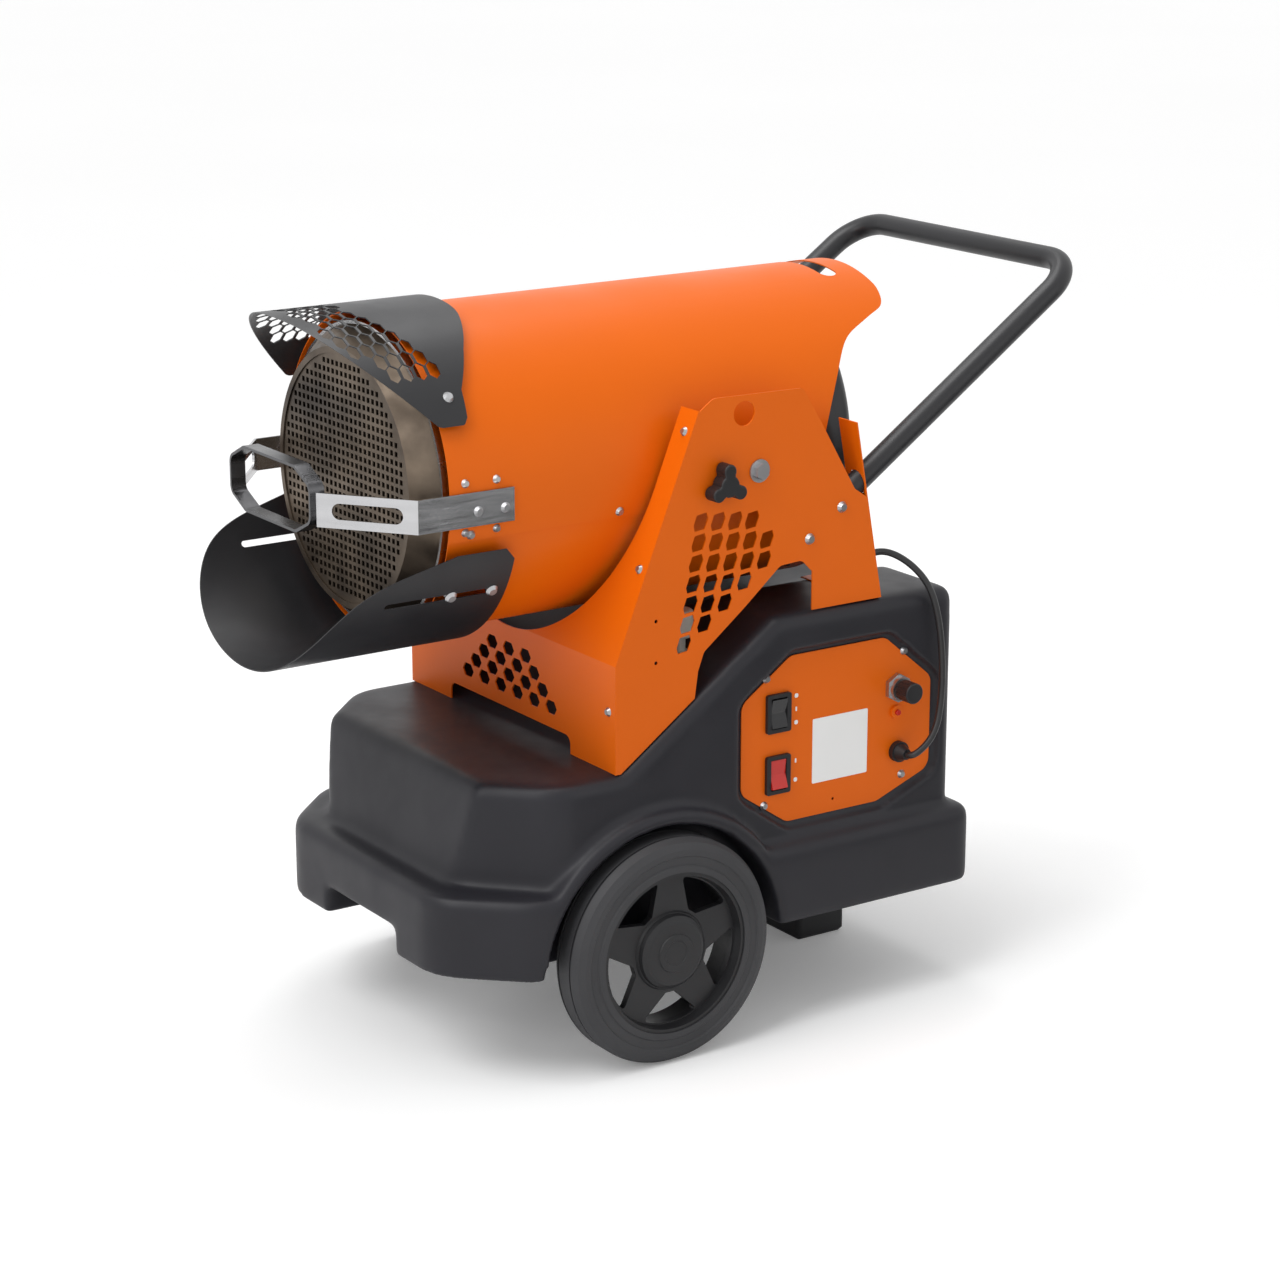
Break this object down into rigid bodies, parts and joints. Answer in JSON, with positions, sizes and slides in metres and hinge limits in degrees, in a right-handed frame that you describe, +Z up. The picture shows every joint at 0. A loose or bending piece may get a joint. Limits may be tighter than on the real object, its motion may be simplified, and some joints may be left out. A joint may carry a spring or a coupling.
{
  "type": "infrared diesel heater",
  "caption": "Wheeled diesel heater with a tilting round burner barrel, perforated glowing front disc, visor, sheet cradle, moulded fuel tank, control panel and tube handle.",
  "frame": {"origin": "on the floor, on the middle plane, halfway along the footprint without the burner lead", "axes": "+X to the side with the control panel, +Y from the glowing front to the tube handle, +Z up"},
  "size_m": [0.601, 1.1482, 0.973],
  "materials": {
    "tank_plastic": "satin moulded polyethylene",
    "black_plastic": "moulded black plastic",
    "black_gloss": "smooth black plastic",
    "red_plastic": "smooth red plastic",
    "filter_plastic": "milky filter bowl",
    "orange_paint": "satin orange powder coat",
    "black_paint": "satin black powder coat",
    "light_plate": "blank light film plate",
    "screw_steel": "zinc plated screws",
    "dark_steel": "dark steel strip",
    "zinc_steel": "zinc plated steel",
    "bright_steel": "bright stainless sheet",
    "heated_steel": "steel tinted by heat",
    "cast_metal": "cast body",
    "aluminium": "cast and pressed aluminium",
    "brass": "machined brass",
    "copper_pipe": "drawn copper pipe",
    "ceramic": "glazed insulator",
    "tyre_rubber": "black rubber",
    "lead_rubber": "black flexible sheath"
  },
  "bodies": {
    "chassis": {"tank_base": "tank_plastic", "axle": "zinc_steel", "axle_collars": "zinc_steel", "axle_clamps": "zinc_steel", "rear_foot": "black_plastic", "fuel_pickup": "filter_plastic", "cradle_side_right": "orange_paint", "cradle_side_left": "orange_paint", "cradle_front": "orange_paint", "cradle_rear": "orange_paint", "chassis_screws": "screw_steel", "pivot_bolts": "zinc_steel", "rear_handle": "black_paint", "control_panel": "orange_paint", "rating_plate": "light_plate", "switch_bodies": "black_plastic", "thermostat_socket": "zinc_steel", "lead_glands": "black_plastic", "burner_lead": "lead_rubber", "control_unit": "black_plastic"},
    "wheel_right": {"tyre_right": "tyre_rubber", "wheel_rim_right": "black_plastic", "hub_cap_right": "black_plastic"},
    "wheel_left": {"tyre_left": "tyre_rubber", "wheel_rim_left": "black_plastic", "hub_cap_left": "black_plastic"},
    "barrel": {"casing_upper": "orange_paint", "casing_lower": "orange_paint", "barrel_screws": "screw_steel", "tilt_blocks": "black_plastic", "liner": "bright_steel", "liner_spacers": "zinc_steel", "emitter_ring": "heated_steel", "emitter_disc": "heated_steel", "combustion_chamber": "heated_steel", "bulkhead": "zinc_steel", "flame_tube": "bright_steel", "nozzle_assembly": "brass", "electrodes": "ceramic", "fan_housing": "zinc_steel", "fan_motor": "aluminium", "fuel_pump": "cast_metal", "fuel_pipe": "copper_pipe", "ignition_transformer": "black_plastic", "rear_cover": "black_paint", "visor": "black_paint", "visor_fixings": "zinc_steel", "deflector_posts": "zinc_steel", "side_straps": "bright_steel", "front_loop": "dark_steel"},
    "knob_right": {"tilt_knob_right": "black_plastic"},
    "knob_left": {"tilt_knob_left": "black_plastic"},
    "deflector": {"lower_deflector": "black_paint"},
    "fan": {"fan_wheel": "aluminium"},
    "selector": {"selector_rocker": "black_gloss"},
    "mains": {"mains_rocker": "red_plastic"},
    "plug": {"thermostat_plug": "black_plastic"},
    "button": {"reset_button": "red_plastic"},
    "cap": {"fuel_cap": "black_plastic"}
  },
  "joints": [
    {"name": "wheel_right_spin", "type": "hinge", "parent": "chassis", "child": "wheel_right", "pos_m": [0.27, -0.13, 0.15], "axis": [1, 0, 0], "continuous": true},
    {"name": "wheel_left_spin", "type": "hinge", "parent": "chassis", "child": "wheel_left", "pos_m": [-0.27, -0.13, 0.15], "axis": [1, 0, 0], "continuous": true},
    {"name": "barrel_tilt", "type": "hinge", "parent": "chassis", "child": "barrel", "pos_m": [0, 0.027, 0.747], "axis": [1, 0, 0], "range_deg": [-5, 5]},
    {"name": "knob_right_turn", "type": "hinge", "parent": "barrel", "child": "knob_right", "pos_m": [0.25, -0.032, 0.738], "axis": [1, 0, 0], "range_deg": [-270, 0]},
    {"name": "knob_left_turn", "type": "hinge", "parent": "barrel", "child": "knob_left", "pos_m": [-0.25, -0.032, 0.738], "axis": [-1, 0, 0], "range_deg": [-270, 0]},
    {"name": "deflector_slide", "type": "slide", "parent": "barrel", "child": "deflector", "axis": [0, 1, 0], "range_m": [0, 0.08]},
    {"name": "fan_spin", "type": "hinge", "parent": "barrel", "child": "fan", "pos_m": [0, 0.09, 0.747], "axis": [0, 1, 0], "continuous": true},
    {"name": "selector_tip", "type": "hinge", "parent": "chassis", "child": "selector", "pos_m": [0.25, 0.06, 0.424], "axis": [0, 1, 0], "range_deg": [-8, 8]},
    {"name": "mains_tip", "type": "hinge", "parent": "chassis", "child": "mains", "pos_m": [0.25, 0.06, 0.341], "axis": [0, 1, 0], "range_deg": [0, 14]},
    {"name": "plug_pull", "type": "slide", "parent": "chassis", "child": "plug", "axis": [1, 0, 0], "range_m": [0, 0.03]},
    {"name": "button_press", "type": "slide", "parent": "chassis", "child": "button", "axis": [-1, 0, 0], "range_m": [0, 0.003], "stiffness_N_per_m": 300},
    {"name": "cap_turn", "type": "hinge", "parent": "chassis", "child": "cap", "pos_m": [-0.15, 0.288, 0.565], "axis": [0, 0, 1], "range_deg": [0, 270]}
  ]
}
